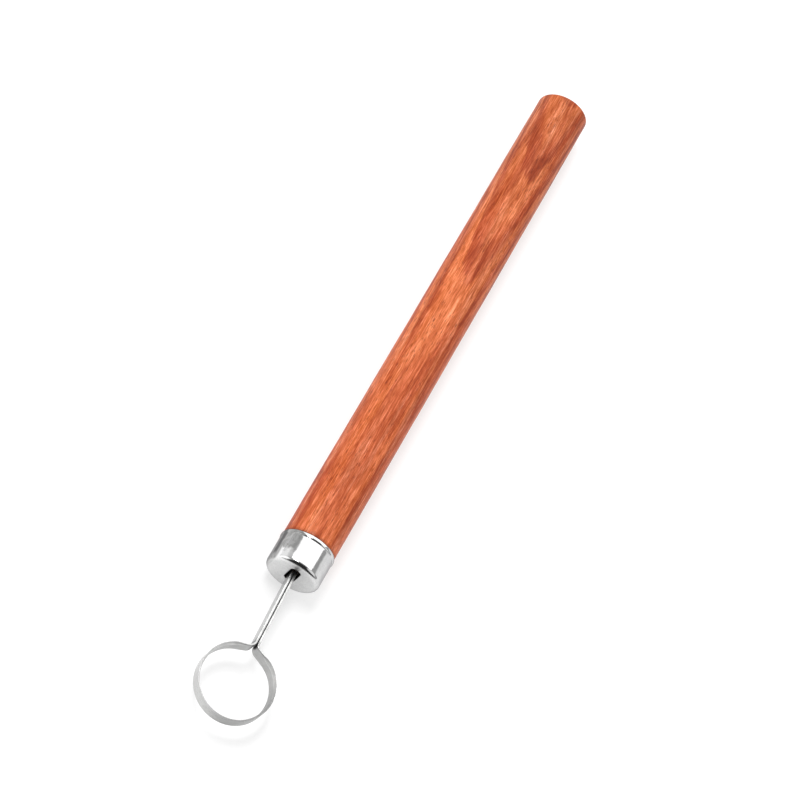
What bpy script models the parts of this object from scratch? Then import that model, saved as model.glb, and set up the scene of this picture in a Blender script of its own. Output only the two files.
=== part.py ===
"""Loop trimming tool for pottery: one bent steel strip, glued through a steel cap into a wooden handle.

Metres, +Z up. The origin is the centre of the butt face. The handle's axis is the X axis: the butt
faces +X and the loop lies towards -X, with the plane of the loop horizontal.
"""

from math import asin, atan2, cos, hypot, pi, radians, sin

import bmesh
import bpy
from mathutils import Matrix, Vector

MM = 0.001

# Handle: a turned dowel with a reduced spigot and a blind bore for the tang.
HANDLE_RADIUS = 6.0 * MM
WOOD_LENGTH = 128.2 * MM
BUTT_ROUND = 0.6 * MM
SHOULDER_ROUND = 0.15 * MM
BORE_RADIUS = 3.0 * MM
BORE_DEPTH = 20.5 * MM
TURNING_STEPS = 32

# Ferrule: a deep-drawn cap, closed in front apart from the slot for the tang. The spigot stops short
# of the nose and leaves a cavity.
FERRULE_LENGTH = 7.7 * MM
FERRULE_RADIUS = 6.1 * MM
FERRULE_WALL = 0.4 * MM
FERRULE_NOSE = 0.5 * MM
NOSE_ROUND = 1.0 * MM
LIP_STAND = 0.15 * MM
LIP_LENGTH = 0.8 * MM
SLOT_WIDTH = 2.4 * MM
SLOT_HEIGHT = 6.0 * MM
SLOT_RISE = 0.7 * MM
NOSE_CAVITY = 1.5 * MM

# Loop blade: one strip whose two ends run back side by side as the tang.
STRIP_THICKNESS = 0.5 * MM
STRIP_WIDTH = 3.7 * MM
LEG_GAP = 0.2 * MM
LOOP_RADIUS = 8.05 * MM
LOOP_REACH = 26.8 * MM
NECK_REACH = 17.25 * MM
NECK_BEND = 1.4 * MM
STEM_LEAN = radians(2.5)
TANG_LENGTH = 20.7 * MM
EDGE_BREAK = 0.04 * MM
GRIND_HEIGHT = 0.9 * MM
GRIND_DEPTH = 0.42 * MM
GRIND_LEAD = 0.4 * MM
GRIND_RUN = 1.6 * MM

# Clearance that touching pieces keep from each other.
FIT_GAP = 0.3 * MM

JOINT_X = -WOOD_LENGTH
NOSE_X = JOINT_X - FERRULE_LENGTH
LEG_OFFSET = (STRIP_THICKNESS + LEG_GAP) / 2
SPIGOT_RADIUS = FERRULE_RADIUS - FERRULE_WALL - FIT_GAP
SPIGOT_END = FERRULE_LENGTH - FERRULE_NOSE - NOSE_CAVITY


def clear_scene():
    for item in list(bpy.data.objects):
        bpy.data.objects.remove(item)


def new_collection(name):
    collection = bpy.data.collections.new(name)
    bpy.context.scene.collection.children.link(collection)
    return collection


def new_material(name, color, roughness, metallic=0.0):
    material = bpy.data.materials.new(name)
    material.use_nodes = True
    shader = material.node_tree.nodes["Principled BSDF"]
    shader.inputs["Base Color"].default_value = (*color, 1.0)
    shader.inputs["Roughness"].default_value = roughness
    shader.inputs["Metallic"].default_value = metallic
    return material


def new_object(name, mesh, collection, material=None):
    item = bpy.data.objects.new(name, mesh)
    collection.objects.link(item)
    if material:
        mesh.materials.append(material)
    return item


def arc_points(center, radius, start, end, segments):
    """Points on an arc in a plane, both ends included."""
    return [
        (
            center[0] + radius * cos(start + (end - start) * i / segments),
            center[1] + radius * sin(start + (end - start) * i / segments),
        )
        for i in range(segments + 1)
    ]


def turned_piece(name, profile, collection, material):
    """A body turned about the X axis from (radius, x) points, with one flat of the turning underneath."""
    mesh = bpy.data.meshes.new(name)
    points = [(radius, 0.0, x) for radius, x in profile]
    mesh.from_pydata(points, [(i, i + 1) for i in range(len(points) - 1)], [])
    item = new_object(name, mesh, collection, material)
    item.rotation_mode = "ZYX"
    item.rotation_euler = (0.0, pi / 2, pi / TURNING_STEPS)
    turn = item.modifiers.new("turn", "SCREW")
    turn.axis = "Z"
    turn.angle = 2 * pi
    turn.steps = TURNING_STEPS
    turn.render_steps = TURNING_STEPS
    turn.use_merge_vertices = True
    turn.merge_threshold = 0.00001
    turn.use_smooth_shade = True
    return item


def handle_profile():
    """Butt, side, shoulder, spigot and bore, from the axis at the butt to the axis at the bore's end."""
    round_center = HANDLE_RADIUS - BUTT_ROUND
    butt_edge = arc_points((round_center, -BUTT_ROUND), BUTT_ROUND, pi / 2, 0, 4)
    spigot_x = JOINT_X - SPIGOT_END
    bore_x = spigot_x + BORE_DEPTH
    return [
        (0.0, 0.0),
        *butt_edge,
        (HANDLE_RADIUS, JOINT_X + SHOULDER_ROUND),
        (HANDLE_RADIUS - SHOULDER_ROUND, JOINT_X),
        (SPIGOT_RADIUS, JOINT_X),
        (SPIGOT_RADIUS, spigot_x + FIT_GAP),
        (SPIGOT_RADIUS - FIT_GAP, spigot_x),
        (BORE_RADIUS, spigot_x),
        (BORE_RADIUS, bore_x),
        (0.0, bore_x),
    ]


def ferrule_profile():
    """Inside of the cap, its lip, then down the outside to the centre of the nose."""
    inner_radius = FERRULE_RADIUS - FERRULE_WALL
    inner_x = NOSE_X + FERRULE_NOSE
    inner_round = NOSE_ROUND - FERRULE_WALL
    inner_edge = arc_points(
        (inner_radius - inner_round, inner_x + inner_round), inner_round, -pi / 2, 0, 4
    )
    outer_edge = arc_points(
        (FERRULE_RADIUS - NOSE_ROUND, NOSE_X + NOSE_ROUND), NOSE_ROUND, 0, -pi / 2, 5
    )
    rim_x = JOINT_X - FIT_GAP
    lip_radius = FERRULE_RADIUS + LIP_STAND
    return [
        (0.0, inner_x),
        *inner_edge,
        (inner_radius, rim_x),
        (lip_radius - LIP_STAND, rim_x),
        (lip_radius, rim_x - LIP_STAND),
        (lip_radius, rim_x - LIP_LENGTH),
        (FERRULE_RADIUS, rim_x - LIP_LENGTH - LIP_STAND),
        *outer_edge,
        (0.0, NOSE_X),
    ]


def box_mesh(name, size, center, bevel=0.0, segments=1):
    """A box about a point, with the four edges that run along X rounded."""
    shape = bmesh.new()
    placing = Matrix.Translation(center) @ Matrix.Diagonal((*size, 1.0))
    bmesh.ops.create_cube(shape, size=1.0, matrix=placing)
    if bevel:
        along_x = [
            edge
            for edge in shape.edges
            if abs((edge.verts[0].co - edge.verts[1].co).x) > size[0] / 2
        ]
        bmesh.ops.bevel(
            shape, geom=along_x, offset=bevel, segments=segments, profile=0.5, affect="EDGES"
        )
    mesh = bpy.data.meshes.new(name)
    shape.to_mesh(mesh)
    shape.free()
    return mesh


def cut(item, name, mesh, cutters):
    """Takes the mesh's volume out of the item with a Boolean modifier."""
    cutter = new_object(name, mesh, cutters)
    cutter.hide_render = True
    cutter.display_type = "WIRE"
    boolean = item.modifiers.new(name, "BOOLEAN")
    boolean.operation = "DIFFERENCE"
    boolean.solver = "EXACT"
    boolean.object = cutter


def strip_side():
    """Centreline of the +Y half of the strip, from the tang's end to the front of the loop.

    The frame is the stem's own: the nose of the ferrule is at 0 and the stem runs towards -X. Each
    point comes with the share of the full grind on its edge. The leg bends out of the stem, runs
    straight and meets the circle of the loop as a tangent.
    """
    loop_center = (-LOOP_REACH, 0.0)
    bend_center = (-NECK_REACH, LEG_OFFSET + NECK_BEND)
    across = (loop_center[0] - bend_center[0], loop_center[1] - bend_center[1])
    to_loop = atan2(-across[1], -across[0])
    swing = asin((LOOP_RADIUS + NECK_BEND) / hypot(*across)) - to_loop
    bend = arc_points(bend_center, NECK_BEND, -pi / 2, -pi / 2 - swing, 6)
    around = arc_points(loop_center, LOOP_RADIUS, pi / 2 - swing, pi, 30)
    shoulder = Vector(around[0]) - Vector(bend[-1])
    grind_start = Vector(bend[-1]) + shoulder.normalized() * GRIND_LEAD
    grind_full = grind_start + shoulder.normalized() * GRIND_RUN
    legs = [(TANG_LENGTH, LEG_OFFSET), (0.0, LEG_OFFSET)]
    plain = [(point, 0.0) for point in (*legs, *bend, tuple(grind_start))]
    return plain + [(point, 1.0) for point in (tuple(grind_full), *around)]


def strip_path():
    """Whole centreline in the part's frame: one leg, the loop and back along the other leg."""
    left = strip_side()
    right = [((x, -y), grind) for (x, y), grind in reversed(left[:-1])]
    lean = Matrix.Rotation(STEM_LEAN, 2)
    path = []
    for point, grind in left + right:
        place = Vector(point)
        if place.x < 0:
            place = lean @ place
        path.append((Vector((place.x + NOSE_X, place.y)), grind))
    return path


def strip_section(grind):
    """Corners of the strip's section as (outwards, up); the grind thins its upper inner edge."""
    half = STRIP_THICKNESS / 2
    top = STRIP_WIDTH / 2
    height = EDGE_BREAK + grind * (GRIND_HEIGHT - EDGE_BREAK)
    depth = EDGE_BREAK + grind * (GRIND_DEPTH - EDGE_BREAK)
    return [(-half, -top), (half, -top), (half, top), (depth - half, top), (-half, top - height)]


def strip_mesh(name):
    """Lofts the section along the centreline and closes both ends of the tang."""
    path = strip_path()
    shape = bmesh.new()
    rings = []
    for i, (place, grind) in enumerate(path):
        before = (place - path[max(i - 1, 0)][0]).normalized()
        after = (path[min(i + 1, len(path) - 1)][0] - place).normalized()
        along = (before + after).normalized()
        outwards = Vector((along.y, -along.x))
        stretch = 1 / max(along.dot(after), along.dot(before))
        rings.append(
            [
                shape.verts.new((*(place + outwards * stretch * out), up))
                for out, up in strip_section(grind)
            ]
        )
    for ring, following in zip(rings, rings[1:]):
        for k in range(len(ring)):
            m = (k + 1) % len(ring)
            shape.faces.new((ring[k], ring[m], following[m], following[k]))
    shape.faces.new(rings[0])
    shape.faces.new(rings[-1])
    bmesh.ops.recalc_face_normals(shape, faces=shape.faces)
    mesh = bpy.data.meshes.new(name)
    shape.to_mesh(mesh)
    shape.free()
    mesh.shade_smooth()
    mesh.set_sharp_from_angle(angle=radians(30))
    return mesh


def add_handle(parts):
    wood = new_material("handle_wood", (0.52, 0.12, 0.045), 0.42)
    return turned_piece("handle", handle_profile(), parts, wood)


def add_ferrule(parts, cutters):
    chrome = new_material("ferrule_chrome", (0.66, 0.66, 0.66), 0.12, 1.0)
    ferrule = turned_piece("ferrule", ferrule_profile(), parts, chrome)
    slot = box_mesh(
        "ferrule_slot_cutter",
        (4 * FERRULE_NOSE, SLOT_WIDTH, SLOT_HEIGHT),
        (NOSE_X + FERRULE_NOSE / 2, 0.0, SLOT_RISE),
        bevel=0.45 * SLOT_WIDTH,
        segments=4,
    )
    cut(ferrule, "ferrule_slot_cutter", slot, cutters)
    return ferrule


def add_loop_blade(parts):
    steel = new_material("blade_steel", (0.58, 0.58, 0.58), 0.30, 1.0)
    return new_object("loop_blade", strip_mesh("loop_blade"), parts, steel)


def add_tang_adhesive(parts, cutters):
    """Resin that fills the bore round the two legs."""
    resin = new_material("tang_resin", (0.030, 0.026, 0.022), 0.40)
    front_x = JOINT_X - SPIGOT_END
    back_x = front_x + BORE_DEPTH - FIT_GAP
    radius = BORE_RADIUS - FIT_GAP
    profile = [(0.0, back_x), (radius, back_x), (radius, front_x), (0.0, front_x)]
    plug = turned_piece("tang_adhesive", profile, parts, resin)
    pocket_front = front_x - FIT_GAP
    pocket_back = NOSE_X + TANG_LENGTH + FIT_GAP
    pocket = box_mesh(
        "tang_pocket_cutter",
        (
            pocket_back - pocket_front,
            2 * LEG_OFFSET + STRIP_THICKNESS + 2 * FIT_GAP,
            STRIP_WIDTH + 2 * FIT_GAP,
        ),
        ((pocket_back + pocket_front) / 2, 0.0, 0.0),
    )
    cut(plug, "tang_pocket_cutter", pocket, cutters)
    return plug


def main():
    clear_scene()
    parts = new_collection("loop_trimming_tool")
    cutters = new_collection("cutters")
    add_handle(parts)
    add_ferrule(parts, cutters)
    add_loop_blade(parts)
    add_tang_adhesive(parts, cutters)


main()
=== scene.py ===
"""Looks of a loop trimming tool for pottery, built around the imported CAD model.

The handle lies along X with its butt at the +X end, and the steel loop points towards -X. Sizes are in
millimetres, multiplied by MM where they are used.
"""

from math import asin, atan2, cos, hypot, pi, radians, sin

import bmesh
import bpy
from mathutils import Matrix, Quaternion, Vector


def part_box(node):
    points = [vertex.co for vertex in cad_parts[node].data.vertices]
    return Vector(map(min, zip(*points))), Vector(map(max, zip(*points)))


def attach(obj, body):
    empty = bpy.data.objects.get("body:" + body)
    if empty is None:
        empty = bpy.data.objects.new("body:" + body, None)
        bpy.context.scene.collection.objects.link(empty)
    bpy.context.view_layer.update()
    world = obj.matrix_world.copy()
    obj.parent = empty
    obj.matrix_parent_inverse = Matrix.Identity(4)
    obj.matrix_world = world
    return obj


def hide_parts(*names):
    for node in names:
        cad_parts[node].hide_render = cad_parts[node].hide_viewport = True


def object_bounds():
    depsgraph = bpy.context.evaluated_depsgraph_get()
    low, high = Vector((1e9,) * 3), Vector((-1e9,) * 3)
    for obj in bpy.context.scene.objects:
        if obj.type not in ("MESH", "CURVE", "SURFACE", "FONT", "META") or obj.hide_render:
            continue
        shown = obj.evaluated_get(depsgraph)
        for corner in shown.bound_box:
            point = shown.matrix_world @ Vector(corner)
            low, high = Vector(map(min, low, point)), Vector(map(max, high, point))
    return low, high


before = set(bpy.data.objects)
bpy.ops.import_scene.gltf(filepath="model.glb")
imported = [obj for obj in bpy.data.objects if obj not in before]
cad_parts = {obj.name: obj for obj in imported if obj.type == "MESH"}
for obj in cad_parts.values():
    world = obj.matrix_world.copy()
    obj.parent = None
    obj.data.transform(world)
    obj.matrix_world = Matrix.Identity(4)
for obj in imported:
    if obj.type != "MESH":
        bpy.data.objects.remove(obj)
CAD_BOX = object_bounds()

MM = 0.001
CENTIMETRE = 10.0
NORMAL_WEIGHT = 90

# Places, from the CAD nodes.
HANDLE_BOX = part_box("handle")
FERRULE_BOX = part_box("ferrule")
BUTT_X = HANDLE_BOX[1].x / MM
SPIGOT_X = HANDLE_BOX[0].x / MM
NOSE_X = FERRULE_BOX[0].x / MM
RIM_X = FERRULE_BOX[1].x / MM
FLOOR_Z = CAD_BOX[0].z

# Handle.
HANDLE_RADIUS = 6.0
BUTT_ROUND = 0.6
BUTT_RINGS = (0.3, 2.0, 4.0, 5.0)  # radii on the flat of the butt
SHOULDER_ROUND = 0.15
SHOULDER_GAP = 0.3
SPIGOT_RADIUS = 5.4
SPIGOT_FILLET = 0.05
SPIGOT_CHAMFER = 0.3
BORE_RADIUS = 3.0
BORE_CHAMFER = 0.1
BORE_DEPTH = 20.5
BORE_TIP = 0.6
CAP_RADIUS = 0.3  # where a solid closes on its axis
JOINT_X = RIM_X + SHOULDER_GAP
HANDLE_SIDES = 128
HANDLE_STEPS = 90
TURNING_WAVES = ((0.21, 0.012), (0.57, 0.008))  # radians per mm, height

# Ferrule.
FERRULE_RADIUS = 6.1
FERRULE_WALL = 0.4
NOSE_THICKNESS = 0.5
NOSE_ROUND = 1.0
RIM_GAP = 0.13
BEAD_RADIUS = 6.25
BEAD_LENGTH = 0.85
BEAD_HEIGHT = 0.12
GROOVE = ((0.04, 0.03), (0.12, 0.035), (0.20, 0.01), (0.30, 0.0))  # distance past the bead, depth
WALL_RINGS = (4.0, 2.0)  # distances from the nose
FACE_SHARES = (0.05, 0.5, 0.9)  # of the way from the nose's rounding to the slot
SLOT_WIDTH = 2.4
SLOT_HEIGHT = 6.0
SLOT_RISE = 0.7
SLOT_CORNER = 1.08
SLOT_EDGE = 0.08
SLOT_EDGE_TURNS = (0.0, pi / 6, pi / 3, pi / 2)
FERRULE_SIDES = 160

# Loop strip.
STRIP_THICKNESS = 0.5
STRIP_WIDTH = 3.7
STRIP_TOP = STRIP_WIDTH / 2
LEG_GAP = 0.2
LEG_OFFSET = (STRIP_THICKNESS + LEG_GAP) / 2
LOOP_RADIUS = 8.05
LOOP_REACH = 26.8
NECK_REACH = 17.25
NECK_BEND = 1.4
STEM_LEAN = radians(2.5)
TANG_LENGTH = 20.7
STEM_STATIONS = (TANG_LENGTH, 12.0, 6.0, 3.0, 0.0, -4.0, -8.0, -12.0, -15.0, -16.5)
SHOULDER_STEP = 0.2
EDGE_ROUND = 0.08
OUTER_ROUND = 0.17
OUTER_SHARE = 2.2  # parts of the flat beside the bevel, of which the rounding takes one
BEVEL_ROUND = 0.03
GRIND_HEIGHT = 0.9
GRIND_DEPTH = 0.42
GRIND_LEAD = 0.4
GRIND_RUN = 2.6
GRIND_SHOWS = 0.02  # the share of the bevel that looks ground
CORNER_SEGMENTS = 3

# Resin.
RESIN_CLEARANCE = 0.1
RESIN_SIDES = 64
COLLAR_CREEP = 0.06

# Camera.
CAMERA_LENS = 135.0
CAMERA_DISTANCE = 640.0
CAMERA_ELEVATION = radians(59.12)
CAMERA_HEADING = radians(166.2)
CAMERA_ROLL = radians(46.26)
CAMERA_AIM = Vector((-1.27, 0.11, 0.0))


# --- Mesh tools -------------------------------------------------------------------------------------


def arc(center, radius, start, end, segments):
    """Points on an arc in a plane, both ends included."""
    angles = [start + (end - start) * i / segments for i in range(segments + 1)]
    return [(center[0] + radius * cos(a), center[1] + radius * sin(a)) for a in angles]


def ring(x, radius, sides):
    """A circle about the X axis."""
    angles = [2 * pi * i / sides for i in range(sides)]
    return [Vector((x, radius * cos(a), radius * sin(a))) for a in angles]


def loft(name, rings, closed=False, caps=False):
    """A mesh object through rings of points, closed into a torus or capped at both ends."""
    shape = bmesh.new()
    rows = [[shape.verts.new(point * MM) for point in points] for points in rings]
    pairs = list(zip(rows, rows[1:]))
    if closed:
        pairs.append((rows[-1], rows[0]))
    for row, following in pairs:
        for k in range(len(row)):
            m = (k + 1) % len(row)
            shape.faces.new((row[k], row[m], following[m], following[k]))
    if caps:
        shape.faces.new(rows[0])
        shape.faces.new(rows[-1])
    bmesh.ops.recalc_face_normals(shape, faces=shape.faces)
    mesh = bpy.data.meshes.new(name)
    shape.to_mesh(mesh)
    shape.free()
    mesh.shade_smooth()
    item = bpy.data.objects.new(name, mesh)
    bpy.context.scene.collection.objects.link(item)
    return item


def weigh_normals(item, sharp_angle):
    """Keeps broad faces flat and lets the small roundings carry the shading."""
    item.data.set_sharp_from_angle(angle=sharp_angle)
    weights = item.modifiers.new("weights", "WEIGHTED_NORMAL")
    weights.keep_sharp = True
    weights.weight = NORMAL_WEIGHT


def belongs(item, material, slot, *nodes):
    """Gives a piece its material and its place on the frame; the slot is not used."""
    item.data.materials.append(material)
    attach(item, "root")
    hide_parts(*nodes)


# --- Material tools ---------------------------------------------------------------------------------


def rgb(red, green, blue):
    """A linear colour with full alpha."""
    return (red, green, blue, 1.0)


def grey(level):
    return rgb(level, level, level)


def new_material(name):
    material = bpy.data.materials.new(name)
    material.use_nodes = True
    tree = material.node_tree
    return material, tree, tree.nodes["Principled BSDF"]


def add(tree, kind, **settings):
    node = tree.nodes.new(kind)
    for key, value in settings.items():
        setattr(node, key, value)
    return node


def feed(tree, socket, value):
    """Links an output, or sets a plain value."""
    if isinstance(value, bpy.types.NodeSocket):
        tree.links.new(value, socket)
    else:
        socket.default_value = value


def calc(tree, operation, *values):
    node = add(tree, "ShaderNodeMath", operation=operation)
    for socket, value in zip(node.inputs, values):
        feed(tree, socket, value)
    return node.outputs[0]


def product(tree, first, *others):
    for other in others:
        first = calc(tree, "MULTIPLY", first, other)
    return first


def swing(tree, value, reach):
    """A noise value turned into a shift to either side, at most half the reach."""
    return product(tree, calc(tree, "SUBTRACT", value, 0.5), reach)


def scaled(tree, vector, factor):
    node = add(tree, "ShaderNodeVectorMath", operation="SCALE")
    feed(tree, node.inputs[0], vector)
    feed(tree, node.inputs["Scale"], factor)
    return node.outputs["Vector"]


def object_mm(tree, scale=(1.0, 1.0, 1.0), turn=0.0, shift=(0.0, 0.0, 0.0)):
    """Object coordinates in millimetres, scaled, turned about X and shifted."""
    coordinates = add(tree, "ShaderNodeTexCoord")
    mapping = add(tree, "ShaderNodeMapping")
    mapping.inputs["Scale"].default_value = [s / MM for s in scale]
    mapping.inputs["Rotation"].default_value = (turn, 0.0, 0.0)
    mapping.inputs["Location"].default_value = shift
    tree.links.new(coordinates.outputs["Object"], mapping.inputs["Vector"])
    return mapping.outputs["Vector"]


def axes(tree, vector):
    """The X, Y and Z of a vector, by name."""
    parts = add(tree, "ShaderNodeSeparateXYZ")
    tree.links.new(vector, parts.inputs["Vector"])
    return parts.outputs


def noise(tree, vector, scale, detail=2.0, roughness=0.5, distortion=0.0):
    node = add(tree, "ShaderNodeTexNoise")
    node.inputs["Scale"].default_value = scale
    node.inputs["Detail"].default_value = detail
    node.inputs["Roughness"].default_value = roughness
    node.inputs["Distortion"].default_value = distortion
    tree.links.new(vector, node.inputs["Vector"])
    return node.outputs["Fac"]


def grain(tree, along, across, detail, roughness, distortion=0.0, shift=0.0):
    """Noise with one scale along the handle and another across it, both per millimetre."""
    vector = object_mm(tree, scale=(along, across, across), shift=(shift, 0.0, 0.0))
    return noise(tree, vector, 1.0, detail, roughness, distortion)


def remap(tree, value, low, high, to_low=0.0, to_high=1.0):
    node = add(tree, "ShaderNodeMapRange", interpolation_type="SMOOTHSTEP")
    feed(tree, node.inputs["Value"], value)
    node.inputs["From Min"].default_value = low
    node.inputs["From Max"].default_value = high
    node.inputs["To Min"].default_value = to_low
    node.inputs["To Max"].default_value = to_high
    return node.outputs["Result"]


def ramp(tree, value, stops):
    """A colour ramp from (position, colour) stops."""
    node = add(tree, "ShaderNodeValToRGB")
    band = node.color_ramp
    band.elements[0].position = stops[0][0]
    band.elements[0].color = stops[0][1]
    band.elements[1].position = stops[-1][0]
    band.elements[1].color = stops[-1][1]
    for position, color in stops[1:-1]:
        band.elements.new(position).color = color
    tree.links.new(value, node.inputs["Fac"])
    return node.outputs["Color"]


def blend(tree, factor, first, second):
    node = add(tree, "ShaderNodeMix", data_type="RGBA")
    feed(tree, node.inputs["Factor"], factor)
    feed(tree, node.inputs["A"], first)
    feed(tree, node.inputs["B"], second)
    return node.outputs["Result"]


def bump(tree, shader, height, distance):
    node = add(tree, "ShaderNodeBump")
    node.inputs["Strength"].default_value = 1.0
    node.inputs["Distance"].default_value = distance * MM
    tree.links.new(height, node.inputs["Height"])
    tree.links.new(node.outputs["Normal"], shader.inputs["Normal"])


# --- Wood -------------------------------------------------------------------------------------------

WOOD_LIGHT = rgb(0.625, 0.158, 0.052)
WOOD_MIDDLE = rgb(0.515, 0.107, 0.034)
WOOD_DARK = rgb(0.368, 0.062, 0.019)
WOOD_DEEP = rgb(0.310, 0.042, 0.010)
WOOD_PLAIN = rgb(0.570, 0.128, 0.042)
BAND_DARK = rgb(0.400, 0.060, 0.015)
BAND_LIGHT = rgb(0.700, 0.195, 0.066)
BAND_PALE = rgb(0.570, 0.172, 0.076)
STREAK_DARK = rgb(0.320, 0.044, 0.011)
FLANK_DARK = rgb(0.300, 0.038, 0.008)
FLANK_RED = rgb(0.380, 0.048, 0.012)
PORE_INK = rgb(0.120, 0.018, 0.008)

# Growth rings, about a pith under the handle.
RING_SPACING = 1.95
RING_START = 27.75
RING_LIFT = 10.0  # keeps the count of rings above 0
RING_WAVER = 0.8
RING_RIPPLE = 0.6
RING_STOPS = (
    (0.0, WOOD_LIGHT),
    (0.05, WOOD_DARK),
    (0.14, WOOD_DEEP),
    (0.30, WOOD_DARK),
    (0.44, WOOD_MIDDLE),
    (0.62, WOOD_LIGHT),
    (1.0, WOOD_LIGHT),
)
PITH_DEPTH = 20.0
PITH_FALL = 0.000361  # per mm
FIGURE_TURN = radians(8.1)

# Grains of the wood: scale along and across the handle, detail, roughness.
WAVER_GRAIN = (0.035, 0.16, 3.0, 0.55)
RIPPLE_GRAIN = (0.12, 1.1, 2.0, 0.5)
BAND_GRAIN = (0.020, 0.40, 3.0, 0.6)
PALE_GRAIN = (0.030, 0.55, 3.0, 0.6)
PALE_SHIFT = 31.0
STREAK_GRAIN = (0.05, 1.3, 5.0, 0.7)
FIBRE_GRAIN = (0.13, 3.4, 5.0, 0.75)
MOTTLE_GRAIN = (0.12, 0.7, 4.0, 0.65)
FLECK_GRAIN = (0.36, 4.6, 4.0, 0.7)
FLANK_GRAIN = (0.07, 0.3, 3.0, 0.6)
PORE_GRAIN = (0.06, 0.7, 2.0, 0.5)
PORE_SCALE = (0.45, 4.2, 4.2)

# What a grain's value does: the range that is used, and the shares or tones at its two ends.
DARK_BANDS = (0.50, 0.66, 0.0, 0.60)
LIGHT_BANDS = (0.34, 0.48, 0.50, 0.0)
PALE_BANDS = (0.50, 0.66, 0.0, 0.50)
STREAKS = (0.52, 0.72, 0.0, 0.80)
FIBRE_TONES = (0.28, 0.72, 0.71, 1.34)
MOTTLE_TONES = (0.3, 0.7, 0.82, 1.16)
FLECK_TONES = (0.34, 0.66, 0.78, 1.20)
PORE_EDGE = (0.16, 0.30, 1.0, 0.0)
PORE_GROUPS = (0.36, 0.60)
PORE_SHARE = 0.80

# How a tone acts on green and blue, where red takes it as it is.
GREEN_POWER = 1.7
BLUE_POWER = 2.6

# What changes along the handle: the range in X, and the shares or tones at its two ends.
FIGURE_CLEARS = (JOINT_X + 30.0, JOINT_X + 78.0, 0.25, 0.85)
# Painted shade over the butt half, darker towards the butt.
FAR_PAINTED_SHADE = (JOINT_X + 76.0, JOINT_X + 112.0, 1.0, 0.86)
END_GRAIN = (BUTT_X - 0.7, BUTT_X - 0.1, 1.0, 0.80)
# Darker next to the ferrule.
JOINT_DARKENING = (JOINT_X + 0.1, JOINT_X + 0.9, 0.72, 1.0)

# A dark line in the -Y flank, darker colour from it out to the -Y edge, and the red wood in the +Y flank.
LINE_PLACE = 4.35  # distance from the middle, to the -Y side
LINE_WANDER = 1.6
LINE_EDGE = (0.15, 0.75, 0.68, 0.0)
LINE_LENGTH = (JOINT_X + 40.0, JOINT_X + 75.0, 1.0, 0.3)
OUTSIDE_EDGE = (-5.0, -4.6, 0.10, 0.0)
OUTSIDE_LENGTH = (JOINT_X + 14.0, JOINT_X + 26.0, 1.0, 0.0)
RED_DEPTH = (3.0, 5.4, 0.20, 0.72)
RED_EDGE = (2.7, 3.1)
RED_LENGTH = (JOINT_X + 12.0, JOINT_X + 24.0, 1.0, 0.0)
RED_RIM = (4.8, 5.6, 0.0, 0.42)
RED_RIM_LENGTH = (JOINT_X + 20.0, JOINT_X + 45.0, 1.0, 0.2)

# The lacquer.
LACQUER_ROUGHNESS = 0.36
FIBRE_ROUGHNESS = 0.20
FIBRE_RELIEF = 0.35
WOOD_RELIEF = 0.02


def ring_phase(tree):
    """Growth rings about a pith that lies under the handle and drops away ever faster to the butt."""
    place = axes(tree, object_mm(tree, turn=FIGURE_TURN, shift=(-JOINT_X, 0.0, PITH_DEPTH)))
    across = product(tree, place["Y"], place["Y"])
    up = product(tree, place["Z"], place["Z"])
    distance = calc(tree, "SQRT", calc(tree, "ADD", across, up))
    fall = product(tree, place["X"], place["X"], PITH_FALL)
    distance = calc(tree, "ADD", distance, fall)
    waver = swing(tree, grain(tree, *WAVER_GRAIN), RING_WAVER)
    ripple = swing(tree, grain(tree, *RIPPLE_GRAIN), RING_RIPPLE)
    moved = calc(tree, "ADD", calc(tree, "ADD", distance, waver), ripple)
    turns = calc(tree, "DIVIDE", calc(tree, "SUBTRACT", moved, RING_START), RING_SPACING)
    return calc(tree, "FRACT", calc(tree, "ADD", turns, RING_LIFT))


def flank_line(tree, along):
    """A dark line in the -Y flank, lost towards the middle, and darker colour from it out to the -Y edge.
    """
    side = axes(tree, object_mm(tree, turn=FIGURE_TURN))["Y"]
    away = calc(tree, "ADD", side, LINE_PLACE)
    away = calc(tree, "ADD", away, swing(tree, grain(tree, *FLANK_GRAIN), LINE_WANDER))
    line = remap(tree, calc(tree, "ABSOLUTE", away), *LINE_EDGE)
    line = product(tree, line, remap(tree, along, *LINE_LENGTH))
    outside = remap(tree, side, *OUTSIDE_EDGE)
    outside = product(tree, outside, remap(tree, along, *OUTSIDE_LENGTH))
    return calc(tree, "MAXIMUM", line, outside)


def red_band(tree, along):
    """Redder wood in the +Y flank next to the ferrule, drawn out along the flank's rim."""
    side = axes(tree, object_mm(tree, turn=FIGURE_TURN))["Y"]
    band = product(tree, remap(tree, side, *RED_DEPTH), remap(tree, side, *RED_EDGE))
    band = product(tree, band, remap(tree, along, *RED_LENGTH))
    rim = product(tree, remap(tree, side, *RED_RIM), remap(tree, along, *RED_RIM_LENGTH))
    return calc(tree, "MAXIMUM", band, rim)


def wood_figure(tree, along):
    """The rings, fainter near the ferrule, under broad bands, the marks in both flanks and streaks."""
    rings = ramp(tree, ring_phase(tree), RING_STOPS)
    color = blend(tree, remap(tree, along, *FIGURE_CLEARS), WOOD_PLAIN, rings)
    bands = grain(tree, *BAND_GRAIN)
    color = blend(tree, remap(tree, bands, *DARK_BANDS), color, BAND_DARK)
    color = blend(tree, remap(tree, bands, *LIGHT_BANDS), color, BAND_LIGHT)
    color = blend(tree, flank_line(tree, along), color, FLANK_DARK)
    color = blend(tree, red_band(tree, along), color, FLANK_RED)
    streaks = grain(tree, *STREAK_GRAIN)
    color = blend(tree, remap(tree, streaks, *STREAKS), color, STREAK_DARK)
    pale = grain(tree, *PALE_GRAIN, shift=PALE_SHIFT)
    return blend(tree, remap(tree, pale, *PALE_BANDS), color, BAND_PALE)


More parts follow.
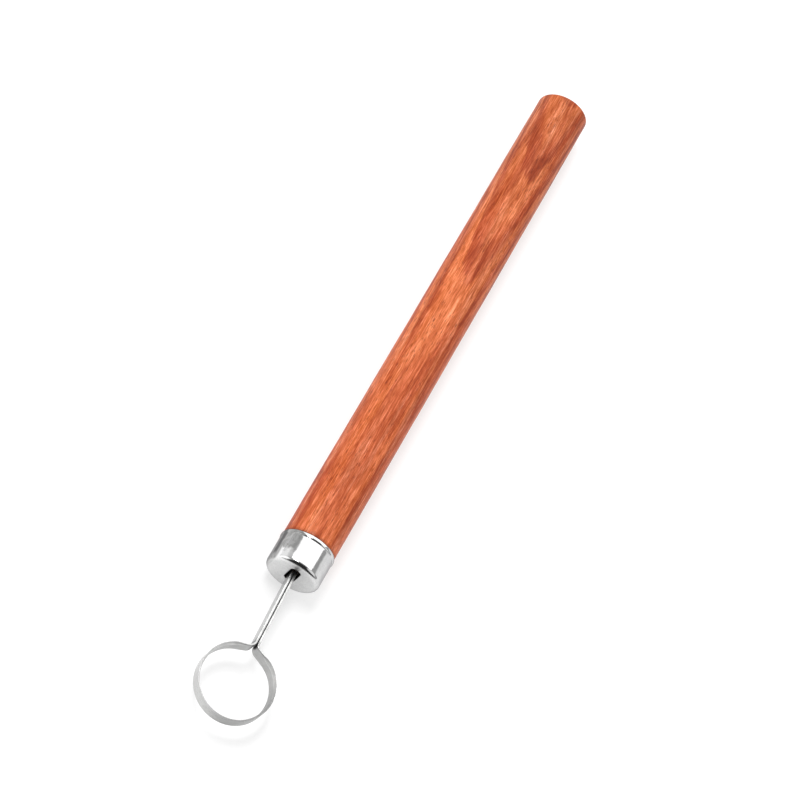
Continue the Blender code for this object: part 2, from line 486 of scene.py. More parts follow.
def grain_tone(tree, fibres):
    """The fine grain as a tone about 1: fibres, mottle and flecks."""
    tone = remap(tree, fibres, *FIBRE_TONES)
    tone = product(tree, tone, remap(tree, grain(tree, *MOTTLE_GRAIN), *MOTTLE_TONES))
    return product(tree, tone, remap(tree, grain(tree, *FLECK_GRAIN), *FLECK_TONES))


def grain_tint(tree, color, tone):
    """The colour in a lighter or darker tone, the dark tones redder and the light ones paler."""
    powers = add(tree, "ShaderNodeCombineXYZ")
    tree.links.new(tone, powers.inputs["X"])
    tree.links.new(calc(tree, "POWER", tone, GREEN_POWER), powers.inputs["Y"])
    tree.links.new(calc(tree, "POWER", tone, BLUE_POWER), powers.inputs["Z"])
    tinted = add(tree, "ShaderNodeVectorMath", operation="MULTIPLY")
    tree.links.new(color, tinted.inputs[0])
    tree.links.new(powers.outputs["Vector"], tinted.inputs[1])
    return tinted.outputs["Vector"]


def wood_color(tree, fibres):
    """The figure with its fine grain, with painted shade towards the far end, darker on the butt and at the
    ferrule.
    """
    along = axes(tree, object_mm(tree))["X"]
    color = grain_tint(tree, wood_figure(tree, along), grain_tone(tree, fibres))
    ends = [remap(tree, along, *span) for span in (FAR_PAINTED_SHADE, END_GRAIN, JOINT_DARKENING)]
    return scaled(tree, color, product(tree, *ends))


def wood_pores(tree):
    """Short open vessels along the grain: 1 in a pore, 0 beside it."""
    cells = add(tree, "ShaderNodeTexVoronoi", feature="F1")
    tree.links.new(object_mm(tree, scale=PORE_SCALE), cells.inputs["Vector"])
    cells.inputs["Scale"].default_value = 1.0
    near = remap(tree, cells.outputs["Distance"], *PORE_EDGE)
    return product(tree, near, remap(tree, grain(tree, *PORE_GRAIN), *PORE_GROUPS))


def wood_material():
    material, tree, shader = new_material("handle_wood_lacquered")
    fibres = grain(tree, *FIBRE_GRAIN)
    pores = wood_pores(tree)
    inked = blend(tree, product(tree, pores, PORE_SHARE), wood_color(tree, fibres), PORE_INK)
    tree.links.new(inked, shader.inputs["Base Color"])
    rough = calc(tree, "ADD", LACQUER_ROUGHNESS, product(tree, fibres, FIBRE_ROUGHNESS))
    tree.links.new(rough, shader.inputs["Roughness"])
    shader.inputs["Specular IOR Level"].default_value = 0.06
    shader.inputs["Coat Weight"].default_value = 0.14
    shader.inputs["Coat Roughness"].default_value = 0.20
    shader.inputs["Sheen Weight"].default_value = 0.06
    shader.inputs["Sheen Roughness"].default_value = 0.15
    relief = calc(tree, "SUBTRACT", product(tree, fibres, FIBRE_RELIEF), pores)
    bump(tree, shader, relief, WOOD_RELIEF)
    return material


def turned_radius(x):
    """The handle's radius at a station, with the faint waves that turning leaves."""
    return HANDLE_RADIUS + sum(height * sin(pitch * x) for pitch, height in TURNING_WAVES)


def handle_profile():
    """(x, radius) from the butt's centre to the bore's end."""
    face = [(BUTT_X, r) for r in BUTT_RINGS]
    butt = arc((BUTT_X - BUTT_ROUND, HANDLE_RADIUS - BUTT_ROUND), BUTT_ROUND, 0.0, pi / 2, segments=8)
    corner = (JOINT_X + SHOULDER_ROUND, HANDLE_RADIUS - SHOULDER_ROUND)
    shoulder = arc(corner, SHOULDER_ROUND, pi / 2, pi, segments=4)
    start = butt[-1][0]
    end = shoulder[0][0]
    stations = [start + (end - start) * i / HANDLE_STEPS for i in range(1, HANDLE_STEPS)]
    side = [(x, turned_radius(x)) for x in stations]
    bore_end = SPIGOT_X + BORE_DEPTH
    core = [
        (JOINT_X, SPIGOT_RADIUS + SPIGOT_FILLET),
        (JOINT_X - SPIGOT_FILLET, SPIGOT_RADIUS),
        (SPIGOT_X + SPIGOT_CHAMFER, SPIGOT_RADIUS),
        (SPIGOT_X, SPIGOT_RADIUS - SPIGOT_CHAMFER),
        (SPIGOT_X, BORE_RADIUS + BORE_CHAMFER),
        (SPIGOT_X + BORE_CHAMFER, BORE_RADIUS),
        (bore_end, BORE_RADIUS),
        (bore_end + BORE_TIP, CAP_RADIUS),
    ]
    return [*face, *butt, *side, *shoulder, *core]


def make_handle():
    rings = [ring(x, r, HANDLE_SIDES) for x, r in handle_profile()]
    handle = loft("handle_body", rings, caps=True)
    weigh_normals(handle, sharp_angle=radians(50))
    belongs(handle, wood_material(), "handle_wood", "handle")


# --- Ferrule ----------------------------------------------------------------------------------------

CHROME_LIGHT = rgb(0.66, 0.66, 0.655)
CHROME_DARK = rgb(0.59, 0.59, 0.595)
# The nose face is gritty, and its lighter tone is painted light.
CHROME_SANDY_PAINTED_LIGHT = rgb(0.80, 0.80, 0.795)
# Painted reflections on the +Y side: a bright patch near the nose, dark patches and a dark line.
CHROME_REFLECTION_BRIGHT = grey(0.92)
CHROME_REFLECTION_DARK = rgb(0.25, 0.25, 0.245)
CHROME_REFLECTION_LINE = grey(0.16)
CHROME_GRAZING = rgb(0.52, 0.52, 0.53)

# Marks of the plating and grains of its painted reflections: scale along and across the ferrule, detail,
# roughness, distortion.
DRAW_GRAIN = (2.6, 0.22, 5.0, 0.7)
DENT_GRAIN = (0.35, 0.28, 2.0, 0.5)
REFLECTION_PATCH_GRAIN = (0.30, 0.75, 4.0, 0.65, 0.6)
BUFF_GRAIN = (0.55, 0.9, 3.0, 0.55)
REFLECTION_LINE_GRAIN = (0.6, 0.2, 3.0, 0.6)
CLOUD_NOISE = (0.55, 3.0, 0.6)
GRIT_NOISE = (2.6, 4.0, 0.7)

# Where the marks and the painted reflections lie: the range of a place or a value, and the shares at its
# two ends.
# The +Y side, which takes the buffing and the painted reflections.
HANDLED_AND_REFLECTION_SIDE = (1.2, 4.2)
OUTER_SIDE = (4.9, 5.3)
BODY_START = (NOSE_X + 1.9, NOSE_X + 3.6)
BODY_WANDER = 4.0
# Painted dark reflection patches on the body and a painted bright reflection near the nose, on the +Y side.
REFLECTION_PATCH_BAND = (0.36, 0.62, 0.60, 1.0)
REFLECTION_PATCH_SHARE = 0.85
BRIGHT_REFLECTION_SHARE = 0.7
CLOUD_BAND = (0.35, 0.7)
GRIT_BAND = (0.35, 0.65)
NOSE_FACE = (NOSE_X + 0.05, NOSE_X + 0.40, 0.7, 0.0)
NOSE_DULL = (NOSE_X + 0.02, NOSE_X + 0.30, 0.20, 0.0)
# A painted dark reflection line along the +Y side.
REFLECTION_LINE_RISE = 2.0
REFLECTION_LINE_WANDER = 0.8
REFLECTION_LINE_EDGE = (0.30, 0.85, 0.97, 0.0)
REFLECTION_LINE_SIDE = (2.0, 4.0)
REFLECTION_LINE_START = (NOSE_X + 0.9, NOSE_X + 2.2)

# How much each mark counts in the roughness and in the relief.
DRAW_ROUGHNESS = 0.16
CLOUD_ROUGHNESS = 0.06
DRAW_HEIGHT = 0.16
DENT_HEIGHT = 1.6
BUFF_HEIGHT = 2.2
CHROME_RELIEF = 0.02


def slot_outline(x, grow, sides):
    """The slot's outline in the nose, a rounded rectangle, as evenly spaced points from the +Y side."""
    corner = SLOT_CORNER + grow
    half_y = SLOT_WIDTH / 2 + grow - corner
    half_z = SLOT_HEIGHT / 2 + grow - corner
    length = 4 * (half_y + half_z) + 2 * pi * corner
    return [slot_point(length * i / sides, corner, half_y, half_z, x) for i in range(sides)]


def slot_point(run, corner, half_y, half_z, x):
    """The point that lies a run along the outline from the middle of its +Y side."""
    turn = pi * corner / 2
    legs = (half_z, turn, 2 * half_y, turn, 2 * half_z, turn, 2 * half_y, turn, half_z)
    y = half_y + corner
    z = 0.0
    heading = pi / 2
    for k, leg in enumerate(legs):
        step = min(run, leg)
        if k % 2:
            bend = step / corner
            y += corner * (sin(heading + bend) - sin(heading))
            z -= corner * (cos(heading + bend) - cos(heading))
            heading += bend
        else:
            y += step * cos(heading)
            z += step * sin(heading)
        run -= step
        if run <= 0:
            break
    return Vector((x, y, z + SLOT_RISE))


def between(first, second, share):
    return [a.lerp(b, share) for a, b in zip(first, second)]


def ferrule_shell():
    """(x, radius) from the inside of the rim, round the bead and down the outside to the nose."""
    rim = JOINT_X - RIM_GAP
    half = BEAD_LENGTH / 2
    foot = BEAD_RADIUS - BEAD_HEIGHT
    unit = arc((0.0, 0.0), 1.0, 0.0, pi, segments=10)
    bead = [(rim - half + half * x, foot + BEAD_HEIGHT * r) for x, r in unit]
    groove = [(rim - BEAD_LENGTH - past, FERRULE_RADIUS - depth) for past, depth in GROOVE]
    wall = [(NOSE_X + x, FERRULE_RADIUS) for x in WALL_RINGS]
    center = (NOSE_X + NOSE_ROUND, FERRULE_RADIUS - NOSE_ROUND)
    nose = arc(center, NOSE_ROUND, pi / 2, pi, segments=14)
    return [(rim, FERRULE_RADIUS - FERRULE_WALL), *bead, *groove, *wall, *nose]


def ferrule_inside():
    """(x, radius) of the rounding inside the nose, from its face to the wall."""
    inner_round = NOSE_ROUND - FERRULE_WALL
    x = NOSE_X + NOSE_THICKNESS + inner_round
    radius = FERRULE_RADIUS - FERRULE_WALL - inner_round
    return arc((x, radius), inner_round, pi, pi / 2, segments=5)


def make_ferrule():
    shell = [ring(x, r, FERRULE_SIDES) for x, r in ferrule_shell()]
    mouth = slot_outline(NOSE_X, SLOT_EDGE, FERRULE_SIDES)
    face = [between(shell[-1], mouth, share) for share in FACE_SHARES]
    edge = [
        slot_outline(NOSE_X + SLOT_EDGE * (1 - cos(a)), SLOT_EDGE * (1 - sin(a)), FERRULE_SIDES)
        for a in SLOT_EDGE_TURNS
    ]
    back = slot_outline(NOSE_X + NOSE_THICKNESS, 0.0, FERRULE_SIDES)
    inner = [ring(x, r, FERRULE_SIDES) for x, r in ferrule_inside()]
    ferrule = loft("ferrule_cap", [*shell, *face, *edge, back, *inner], closed=True)
    weigh_normals(ferrule, sharp_angle=radians(55))
    belongs(ferrule, chrome_material(), "ferrule_chrome", "ferrule")


def side_reflection_line(tree, place):
    """A painted dark reflection line along the ferrule's +Y side, with soft edges."""
    off = calc(tree, "SUBTRACT", place["Z"], REFLECTION_LINE_RISE)
    off = calc(tree, "ADD", off, swing(tree, grain(tree, *REFLECTION_LINE_GRAIN), REFLECTION_LINE_WANDER))
    line = remap(tree, calc(tree, "ABSOLUTE", off), *REFLECTION_LINE_EDGE)
    line = product(tree, line, remap(tree, place["Y"], *REFLECTION_LINE_SIDE))
    return product(tree, line, remap(tree, place["X"], *REFLECTION_LINE_START))


def chrome_body(tree, place, cloud):
    """1 on the ferrule's body and 0 near its nose, with a wandering border between them."""
    wander = calc(tree, "ADD", place["X"], swing(tree, cloud, BODY_WANDER))
    body = remap(tree, wander, *BODY_START)
    return calc(tree, "MAXIMUM", body, remap(tree, place["Y"], *OUTER_SIDE))


def chrome_tint(tree, place, cloud, handled_and_reflection_side):
    """The plating's colour: clouds, painted dark reflection patches and a painted dark reflection line on
    the +Y side with a painted bright reflection near the nose, and a sandy nose face lightened with painted
    light.
    """
    body = chrome_body(tree, place, cloud)
    reflection_patches = remap(tree, grain(tree, *REFLECTION_PATCH_GRAIN), *REFLECTION_PATCH_BAND)
    reflection_patches = product(tree, reflection_patches, body, handled_and_reflection_side, REFLECTION_PATCH_SHARE)
    bright_reflection = product(tree, calc(tree, "SUBTRACT", 1.0, body), handled_and_reflection_side, BRIGHT_REFLECTION_SHARE)
    tint = blend(tree, remap(tree, cloud, *CLOUD_BAND), CHROME_LIGHT, CHROME_DARK)
    tint = blend(tree, reflection_patches, tint, CHROME_REFLECTION_DARK)
    tint = blend(tree, bright_reflection, tint, CHROME_REFLECTION_BRIGHT)
    tint = blend(tree, side_reflection_line(tree, place), tint, CHROME_REFLECTION_LINE)
    grit = remap(tree, noise(tree, object_mm(tree), *GRIT_NOISE), *GRIT_BAND)
    sandy_painted_light = blend(tree, grit, CHROME_LIGHT, CHROME_SANDY_PAINTED_LIGHT)
    return blend(tree, remap(tree, place["X"], *NOSE_FACE), tint, sandy_painted_light)


def chrome_material():
    material, tree, shader = new_material("ferrule_chrome_plated")
    shader.inputs["Metallic"].default_value = 1.0
    shader.inputs["Specular Tint"].default_value = CHROME_GRAZING
    place = axes(tree, object_mm(tree))
    # The +Y side takes the painted reflections as well as the buffing.
    handled_and_reflection_side = remap(tree, place["Y"], *HANDLED_AND_REFLECTION_SIDE)
    cloud = noise(tree, object_mm(tree), *CLOUD_NOISE)
    drawn = grain(tree, *DRAW_GRAIN)
    tree.links.new(chrome_tint(tree, place, cloud, handled_and_reflection_side), shader.inputs["Base Color"])
    nose = remap(tree, place["X"], *NOSE_DULL)
    rough = calc(tree, "ADD", nose, product(tree, drawn, DRAW_ROUGHNESS))
    rough = calc(tree, "ADD", rough, product(tree, cloud, CLOUD_ROUGHNESS))
    tree.links.new(rough, shader.inputs["Roughness"])
    dents = product(tree, grain(tree, *DENT_GRAIN), DENT_HEIGHT)
    buffed = product(tree, grain(tree, *BUFF_GRAIN), handled_and_reflection_side, BUFF_HEIGHT)
    height = calc(tree, "ADD", product(tree, drawn, DRAW_HEIGHT), dents)
    bump(tree, shader, calc(tree, "ADD", height, buffed), CHROME_RELIEF)
    return material


# --- Loop strip -------------------------------------------------------------------------------------


def strip_side():
    """Centreline of the +Y half, from the tang's end to the front of the loop, with its share of grind.

    The ferrule's nose is at 0 and the stem runs towards -X.
    """
    loop_center = (-LOOP_REACH, 0.0)
    bend_center = (-NECK_REACH, LEG_OFFSET + NECK_BEND)
    across = (loop_center[0] - bend_center[0], loop_center[1] - bend_center[1])
    to_loop = atan2(-across[1], -across[0])
    turn = asin((LOOP_RADIUS + NECK_BEND) / hypot(*across)) - to_loop
    bend = arc(bend_center, NECK_BEND, -pi / 2, -pi / 2 - turn, segments=12)
    around = arc(loop_center, LOOP_RADIUS, pi / 2 - turn, pi, segments=90)
    start = Vector(bend[-1])
    run = Vector(around[0]) - start
    steps = max(int(run.length / SHOULDER_STEP), 2)
    shoulder = [start + run * i / steps for i in range(1, steps)]
    stem = [(x, LEG_OFFSET) for x in STEM_STATIONS]
    points = [Vector(p) for p in (*stem, *bend, *shoulder, *around)]
    return [(point, grind_share(point, start, run.normalized())) for point in points]


def grind_share(point, start, way):
    """The share of the full bevel at a point: none on the stem, then fading in past the neck."""
    past = (point - start).dot(way) if point.x < start.x else 0.0
    share = min(max((past - GRIND_LEAD) / GRIND_RUN, 0.0), 1.0)
    return share * share * (3 - 2 * share)


def in_part(x, y):
    """A point of the stem's own frame, moved into the part's frame."""
    place = Matrix.Rotation(STEM_LEAN, 2) @ Vector((x, y))
    return Vector((place.x + NOSE_X, place.y))


def strip_path():
    """Whole centreline in the part's frame: one leg, the loop and back along the other leg."""
    left = strip_side()
    right = [(Vector((p.x, -p.y)), grind) for p, grind in reversed(left[:-1])]
    path = []
    for point, grind in left + right:
        tang = Vector((point.x + NOSE_X, point.y))
        path.append((in_part(*point) if point.x < 0 else tang, grind))
    return path


def round_corner(before, corner, after, radius):
    """Points that replace a corner of a section with a rounding."""
    corner = Vector(corner)
    back = (Vector(before) - corner).normalized()
    ahead = (Vector(after) - corner).normalized()
    points = []
    for i in range(CORNER_SEGMENTS + 1):
        t = i / CORNER_SEGMENTS
        points.append(corner + back * radius * (1 - t) ** 2 + ahead * radius * t ** 2)
    return points


def strip_section(grind):
    """Outline of the strip's section as (outwards, up), from its inner bottom corner round to its bevel."""
    half = STRIP_THICKNESS / 2
    top = STRIP_TOP
    height = EDGE_ROUND + grind * (GRIND_HEIGHT - EDGE_ROUND)
    depth = EDGE_ROUND + grind * (GRIND_DEPTH - EDGE_ROUND)
    outer = min(OUTER_ROUND, (2 * half - depth) / OUTER_SHARE)
    corners = [(-half, -top), (half, -top), (half, top), (depth - half, top), (-half, top - height)]
    radii = [EDGE_ROUND, EDGE_ROUND, outer, BEVEL_ROUND, BEVEL_ROUND]
    outline = []
    for k, corner in enumerate(corners):
        before = corners[k - 1]
        after = corners[(k + 1) % len(corners)]
        outline += round_corner(before, corner, after, radii[k])
    return outline


def strip_rings(path):
    """The section at each point of the path, mitred between the runs before and after it."""
    rings = []
    for i, (place, grind) in enumerate(path):
        before = (place - path[max(i - 1, 0)][0]).normalized()
        after = (path[min(i + 1, len(path) - 1)][0] - place).normalized()
        along = (before + after).normalized()
        outwards = Vector((along.y, -along.x))
        stretch = 1 / max(along.dot(after), along.dot(before))
        section = strip_section(grind)
        rings.append([Vector((*(place + outwards * stretch * out), up)) for out, up in section])
    return rings


def make_strip():
    path = strip_path()
    rings = strip_rings(path)
    strip = loft("loop_strip", rings, caps=True)
    lay_lengths(strip, path, rings)
    weigh_normals(strip, sharp_angle=radians(32))
    brushed = steel_material("blade_steel_brushed", tone=0.56, roughness=0.20)
    belongs(strip, brushed, "blade_steel", "loop_blade")
    # The inside is rougher, and its darker tone is painted shade.
    strip.data.materials.append(steel_material("blade_steel_inside_painted_shade", tone=0.45, roughness=0.30))
    strip.data.materials.append(steel_material("blade_steel_ground", tone=0.68, roughness=0.36))
    finish_sides(strip, path, len(rings[0]))


def lay_lengths(strip, path, rings):
    """UVs in centimetres, along the strip and round its section, for the brushing of the steel."""
    lengths = [0.0]
    for (before, _), (after, _) in zip(path, path[1:]):
        lengths.append(lengths[-1] + (after - before).length / CENTIMETRE)
    section = rings[len(rings) // 2]
    count = len(section)
    girth = [0.0]
    for k in range(count):
        girth.append(girth[-1] + (section[(k + 1) % count] - section[k]).length / CENTIMETRE)
    layer = strip.data.uv_layers.new(name="along")
    for face in strip.data.polygons:
        corners = [strip.data.loops[i].vertex_index % count for i in face.loop_indices]
        wraps = 0 in corners and count - 1 in corners
        for i, corner in zip(face.loop_indices, corners):
            place = count if wraps and corner == 0 else corner
            layer.data[i].uv = (lengths[strip.data.loops[i].vertex_index // count], girth[place])


def finish_sides(strip, path, count):
    """The inside of the loop has the rougher rolled finish and a darker tone that is painted shade, and the
    bevel of its cutting edge is ground.

    A ring ends with the roundings of the bevel's two corners, and its last point and its first one
    bound the inner side.
    """
    neck = NOSE_X - NECK_REACH + NECK_BEND
    inner_side = {0, count - 1}
    bevel_start = count - 2 * (CORNER_SEGMENTS + 1) + 1
    for face in strip.data.polygons:
        if len(face.vertices) > 4:
            continue
        spot = min(v // count for v in face.vertices)
        corners = {v % count for v in face.vertices}
        if corners == inner_side and path[spot][0].x < neck:
            face.material_index = 1
        elif min(corners) >= bevel_start and path[spot][1] > GRIND_SHOWS:
            face.material_index = 2


# --- Steel ------------------------------------------------------------------------------------------

# Painted shade on the front of the loop, for the shadowed floor it reflects: its direction, its range that
# way, and the loss of tone from the bottom up.
FRONT_SHADE_WAY = Vector((-0.62, -0.79))
FRONT_SHADE_RANGE = (2.0, LOOP_RADIUS - 0.8)
FRONT_SHADE_LOSS = (-STRIP_TOP, -STRIP_TOP + 0.9, 0.62, 0.42)

# The stem, from the neck towards the ferrule, with painted shade on its sides: its sides, the loop beyond
# it, and its lit top edge.
NECK_X = in_part(-NECK_REACH, 0.0).x
STEM_SIDE_SHADE = (NECK_X + 0.5, NECK_X + 6.0, 0.72, 0.84)
STEM_BEYOND = (NECK_X - 0.6, NECK_X + 0.2, 1.0, 0.0)
STEM_EDGE = (STRIP_TOP - 0.12, STRIP_TOP - 0.02, 0.0, 1.0)

# Painted shade in the crotch of the neck: its middle, its tone by distance, and the lighter top edge.
CROTCH_SHADE_CENTER = in_part(-NECK_REACH - 0.25, 0.66)
CROTCH_SHADE_RANGE = (0.62, 1.25, 0.10, 1.0)
CROTCH_SHADE_EDGE = (STRIP_TOP - 0.16, STRIP_TOP - 0.02, 0.0, 0.8)

# The brushing, which follows the UVs, and the clouds in the steel.
BRUSH_SCALE = (7.0, 70.0, 1.0)
BRUSH_NOISE = (1.0, 5.0, 0.7)
BRUSH_TONES = (0.3, 0.7, 0.82, 1.14)
BRUSH_ROUGHNESS = 0.18
BRUSH_RELIEF = 0.008
STEEL_CLOUD = (0.5, 3.0, 0.6)
STEEL_TONES = (0.35, 0.7, 1.04, 0.92)
STEEL_BLUE = 0.99  # blue as a share of red


def front_painted_shade(tree, place):
    """The steel's tone with painted shade on the front of the loop, a little to the -Y side, deepest at the
    bottom.
    """
    center = in_part(-LOOP_REACH, 0.0)
    ahead = product(tree, calc(tree, "SUBTRACT", place["X"], center.x), FRONT_SHADE_WAY.x)
    aside = product(tree, calc(tree, "SUBTRACT", place["Y"], center.y), FRONT_SHADE_WAY.y)
    front_shade = remap(tree, calc(tree, "ADD", ahead, aside), *FRONT_SHADE_RANGE)
    loss = remap(tree, place["Z"], *FRONT_SHADE_LOSS)
    return calc(tree, "SUBTRACT", 1.0, product(tree, front_shade, loss))


def stem_painted_shade(tree, place):
    """The steel's tone with painted shade on the sides of the stem, deeper towards the neck, with its lit
    top edge left clear.
    """
    side = remap(tree, place["X"], *STEM_SIDE_SHADE)
    side = calc(tree, "MAXIMUM", side, remap(tree, place["X"], *STEM_BEYOND))
    return calc(tree, "MAXIMUM", side, remap(tree, place["Z"], *STEM_EDGE))


def neck_painted_shade(tree, place):
    """The steel's tone with painted shade in the crotch between the two legs."""
    x = calc(tree, "SUBTRACT", place["X"], CROTCH_SHADE_CENTER.x)
    y = calc(tree, "SUBTRACT", place["Y"], CROTCH_SHADE_CENTER.y)
    square = calc(tree, "ADD", product(tree, x, x), product(tree, y, y))
    unshaded = remap(tree, calc(tree, "SQRT", square), *CROTCH_SHADE_RANGE)
    return calc(tree, "MAXIMUM", unshaded, remap(tree, place["Z"], *CROTCH_SHADE_EDGE))


def brushing(tree):
    """Fine lines along the strip."""
    along = add(tree, "ShaderNodeUVMap", uv_map="along")
    stretch = add(tree, "ShaderNodeMapping")
    stretch.inputs["Scale"].default_value = BRUSH_SCALE
    tree.links.new(along.outputs["UV"], stretch.inputs["Vector"])
    return noise(tree, stretch.outputs["Vector"], *BRUSH_NOISE)


def steel_material(name, tone, roughness):
    material, tree, shader = new_material(name)
    shader.inputs["Metallic"].default_value = 1.0
    brush = brushing(tree)
    place = axes(tree, object_mm(tree))
    cloud = noise(tree, object_mm(tree), *STEEL_CLOUD)
    shade = product(tree, remap(tree, cloud, *STEEL_TONES), remap(tree, brush, *BRUSH_TONES))
    # Painted shade on the front of the loop, in the crotch of the neck and on the sides of the stem.
    shade = product(tree, shade, front_painted_shade(tree, place), neck_painted_shade(tree, place))
    shade = product(tree, shade, stem_painted_shade(tree, place))
    tint = scaled(tree, (tone, tone, tone * STEEL_BLUE), shade)
    tree.links.new(tint, shader.inputs["Base Color"])
    rough = calc(tree, "ADD", roughness, product(tree, brush, BRUSH_ROUGHNESS))
    tree.links.new(rough, shader.inputs["Roughness"])
    bump(tree, shader, brush, BRUSH_RELIEF)
    return material


# --- Resin ------------------------------------------------------------------------------------------

RESIN_DARK = rgb(0.018, 0.015, 0.013)
RESIN_BROWN = rgb(0.060, 0.045, 0.036)
RESIN_CLOUD = (1.3, 4.0, 0.6)
RESIN_BAND = (0.35, 0.7)
RESIN_ROUGHNESS = (0.3, 0.7, 0.30, 0.60)
RESIN_RELIEF = 0.08


def resin_material():
    material, tree, shader = new_material("tang_resin_dark")
    cloud = noise(tree, object_mm(tree), *RESIN_CLOUD)
    tint = blend(tree, remap(tree, cloud, *RESIN_BAND), RESIN_DARK, RESIN_BROWN)
    tree.links.new(tint, shader.inputs["Base Color"])
    tree.links.new(remap(tree, cloud, *RESIN_ROUGHNESS), shader.inputs["Roughness"])
    bump(tree, shader, cloud, RESIN_RELIEF)
    return material


def resin_profile():
    """(x, radius) from the plug's inner end to the middle of the collar, which stands off the spigot."""
    plug_end = SPIGOT_X + BORE_DEPTH - 0.3
    plug_radius = BORE_RADIUS - RESIN_CLEARANCE
    return [
        (plug_end, CAP_RADIUS),
        (plug_end, plug_radius - 0.1),
        (plug_end - 0.1, plug_radius),
        (SPIGOT_X + 0.1, plug_radius),
        (SPIGOT_X - 0.02, BORE_RADIUS + 0.1),
        (SPIGOT_X - 0.02, BORE_RADIUS + 1.5),
        (SPIGOT_X - 0.12, BORE_RADIUS + 1.6),
        (SPIGOT_X - 0.26, BORE_RADIUS + 1.3),
        (SPIGOT_X - 0.34, BORE_RADIUS),
        (SPIGOT_X - 0.42, 1.4),
        (SPIGOT_X - 0.46, CAP_RADIUS),
    ]


def crept(circle, creep):
    """A circle with lobes, as a collar of resin creeps further in some directions than in others."""
    points = []
    for k, point in enumerate(circle):
        turn = 2 * pi * k / len(circle)
        wide = 1 + creep * (sin(3 * turn + 1) + 0.6 * sin(7 * turn))
        points.append(Vector((point.x, point.y * wide, point.z * wide)))
    return points


def make_resin():
    """The plug in the bore, with a collar of resin that has crept over the end of the spigot."""
    rings = []
    for x, radius in resin_profile():
        creep = COLLAR_CREEP if x < SPIGOT_X else 0.0
        rings.append(crept(ring(x, radius, RESIN_SIDES), creep))
    resin = loft("resin_fill", rings, caps=True)
    weigh_normals(resin, sharp_angle=radians(60))
    belongs(resin, resin_material(), "tang_resin", "tang_adhesive")


# --- Stage ------------------------------------------------------------------------------------------

FLOOR_HALF = 3.0
FLOOR_CELLS = 8
FLOOR_LOW = grey(0.44)
FLOOR_HIGH = grey(0.46)
FLOOR_NOISE = (0.02, 2.0, 0.5)
FLOOR_GLOW = 0.59

# Softboxes: name, place from the tool's middle in metres, sides in metres, power in watts.
SOFTBOXES = (
    ("overhead", (0.85, -0.13, 0.92), (1.4, 2.24), 14.4),
    ("key", (0.15, 0.42, 1.02), (0.36, 0.36), 6.6),
)

# The studio's grey, and its lobes: direction, cosines where each starts and is full, and its grey.
SKY = grey(0.42)
SKY_LOBES = (
    ((-0.766, -0.22, 0.604), 0.50, 0.78, 0.03),
    ((-0.15, -0.78, 0.60), 0.88, 0.96, 1.0),
    ((0.498, 0.84, 0.20), 0.90, 0.975, 0.95),
    ((0.498, 0.68, 0.54), 0.972, 0.994, 0.66),
    ((0.50, -0.86, 0.02), 0.945, 0.982, 1.05),
    ((-0.25, 0.90, 0.35), 0.88, 0.95, 1.3),
)


def floor_material():
    material, tree, shader = new_material("floor_white")
    tint = blend(tree, noise(tree, object_mm(tree), *FLOOR_NOISE), FLOOR_LOW, FLOOR_HIGH)
    tree.links.new(tint, shader.inputs["Base Color"])
    shader.inputs["Roughness"].default_value = 0.7
    shader.inputs["Specular IOR Level"].default_value = 0.2
    shader.inputs["Emission Color"].default_value = grey(1.0)
    shader.inputs["Emission Strength"].default_value = FLOOR_GLOW
    return material


def make_floor():
    shape = bmesh.new()
    bmesh.ops.create_grid(shape, x_segments=FLOOR_CELLS, y_segments=FLOOR_CELLS, size=FLOOR_HALF)
    mesh = bpy.data.meshes.new("floor")
    shape.to_mesh(mesh)
    shape.free()
    floor = bpy.data.objects.new("floor", mesh)
    floor.location.z = FLOOR_Z
    bpy.context.scene.collection.objects.link(floor)
    mesh.materials.append(floor_material())


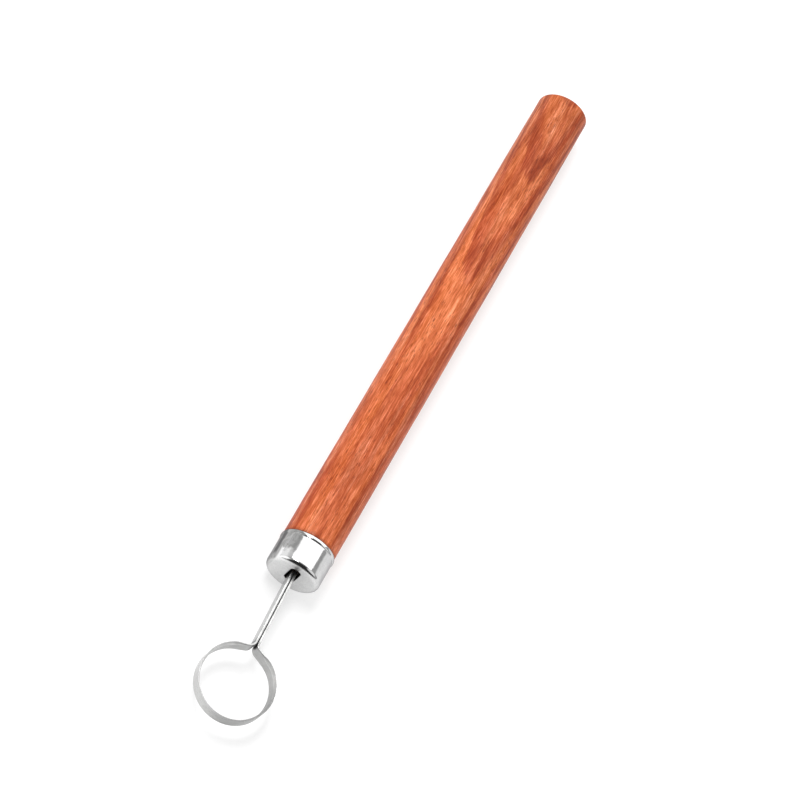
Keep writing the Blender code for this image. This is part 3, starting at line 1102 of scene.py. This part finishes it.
def add_softbox(name, place, size, power):
    """A rectangular light that faces the tool, its second side level and square to the handle."""
    light = bpy.data.lights.new(name, "AREA")
    light.shape = "RECTANGLE"
    light.size = size[0]
    light.size_y = size[1]
    light.energy = power
    lamp = bpy.data.objects.new(name, light)
    center = (CAD_BOX[0] + CAD_BOX[1]) / 2
    lamp.location = center + Vector(place)
    lamp.rotation_mode = "QUATERNION"
    away = Vector((place[0], 0.0, place[2]))
    lamp.rotation_quaternion = (-away).to_track_quat("-Z", "X")
    bpy.context.scene.collection.objects.link(lamp)


def lobe(tree, direction, start, full):
    """1 around a direction of the sky and 0 away from it, between two cosines."""
    coordinates = add(tree, "ShaderNodeTexCoord")
    facing = add(tree, "ShaderNodeVectorMath", operation="DOT_PRODUCT")
    tree.links.new(coordinates.outputs["Generated"], facing.inputs[0])
    facing.inputs[1].default_value = Vector(direction).normalized()
    return remap(tree, facing.outputs["Value"], start, full)


def make_world():
    """A grey studio, dark on the side where the camera stands and bright in a few places."""
    world = bpy.data.worlds.new("studio")
    world.use_nodes = True
    tree = world.node_tree
    background = tree.nodes["Background"]
    color = SKY
    for direction, start, full, level in SKY_LOBES:
        color = blend(tree, lobe(tree, direction, start, full), color, grey(level))
    tree.links.new(color, background.inputs["Color"])
    background.inputs["Strength"].default_value = 1.0
    bpy.context.scene.world = world


def make_camera():
    data = bpy.data.cameras.new("camera")
    data.lens = CAMERA_LENS
    data.sensor_width = 36.0
    data.clip_start = 0.05
    data.clip_end = 20.0
    camera = bpy.data.objects.new("camera", data)
    aim = (CAD_BOX[0] + CAD_BOX[1]) / 2 + CAMERA_AIM * MM
    level = cos(CAMERA_ELEVATION)
    away = Vector((level * cos(CAMERA_HEADING), level * sin(CAMERA_HEADING), sin(CAMERA_ELEVATION)))
    camera.location = aim + away * CAMERA_DISTANCE * MM
    camera.rotation_mode = "QUATERNION"
    camera.rotation_quaternion = (-away).to_track_quat("-Z", "Y") @ Quaternion((0, 0, 1), CAMERA_ROLL)
    bpy.context.scene.collection.objects.link(camera)
    bpy.context.scene.camera = camera


def make_stage():
    make_floor()
    make_world()
    make_camera()
    for softbox in SOFTBOXES:
        add_softbox(*softbox)
    bpy.context.scene.view_settings.view_transform = "Standard"


make_handle()
make_ferrule()
make_strip()
make_resin()
make_stage()
